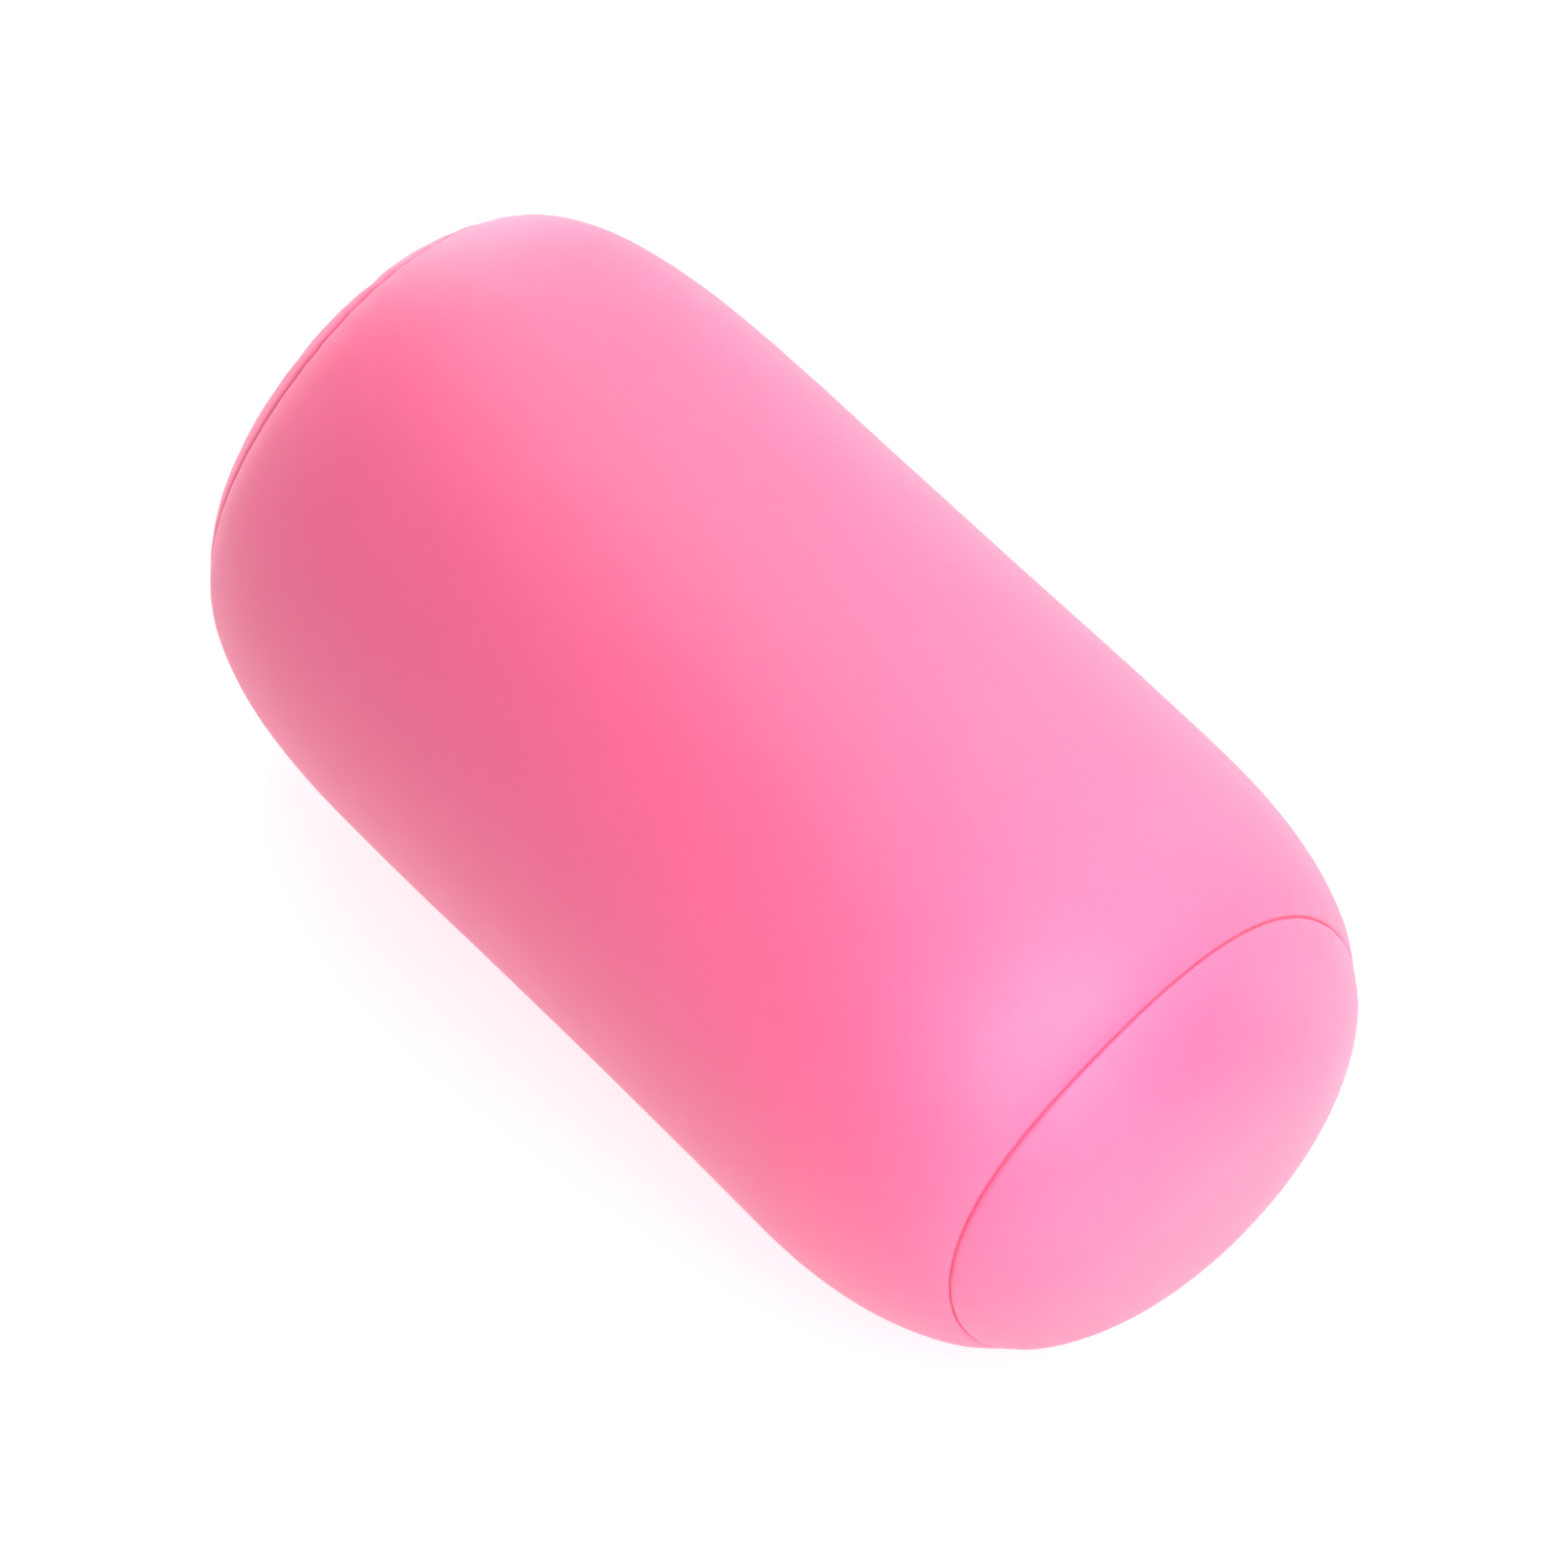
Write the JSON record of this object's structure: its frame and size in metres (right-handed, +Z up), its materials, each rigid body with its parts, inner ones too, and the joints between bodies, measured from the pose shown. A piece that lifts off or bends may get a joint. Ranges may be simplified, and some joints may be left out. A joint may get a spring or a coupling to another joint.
{
  "type": "bolster pillow",
  "caption": "Cylindrical bolster roll pillow with soft rounded ends: a smooth stretch-knit cover with sewn-in domed end discs round a bead-filled inner bag.",
  "frame": {"origin": "on the floor under the middle of the roll: the bottom centre of the bounding box", "axes": "+X along the roll's axis towards its front end, +Z up, +Y towards the back seam and the care label"},
  "size_m": [0.33, 0.17, 0.1665],
  "materials": {
    "pink_knit": "fine matte stretch knit with a soft sheen",
    "pink_thread": "polyester thread",
    "white_liner": "plain woven",
    "white_thread": "polyester thread",
    "white_beads": "expanded polystyrene microbeads in bulk",
    "white_satin": "blank satin ribbon"
  },
  "bodies": {
    "pillow": {"cover_tube_panel": "pink_knit", "cover_front_disc": "pink_knit", "cover_rear_disc": "pink_knit", "cover_front_seam_thread": "pink_thread", "cover_rear_seam_thread": "pink_thread", "cover_back_seam_thread_front": "pink_thread", "cover_back_seam_thread_rear": "pink_thread", "cover_closing_thread": "pink_thread", "liner_tube_panel": "white_liner", "liner_front_disc": "white_liner", "liner_rear_disc": "white_liner", "liner_front_seam_thread": "white_thread", "liner_rear_seam_thread": "white_thread", "liner_back_seam_thread_front": "white_thread", "liner_back_seam_thread_rear": "white_thread", "liner_closing_thread": "white_thread", "bead_fill": "white_beads", "care_label_tab": "white_satin"},
    "care_label": {"care_label_flap": "white_satin"}
  },
  "joints": [
    {"name": "label_flap", "type": "hinge", "parent": "pillow", "child": "care_label", "pos_m": [-0.06, 0.07387, 0.03885], "axis": [1, 0, 0], "range_deg": [-25, 140]}
  ]
}
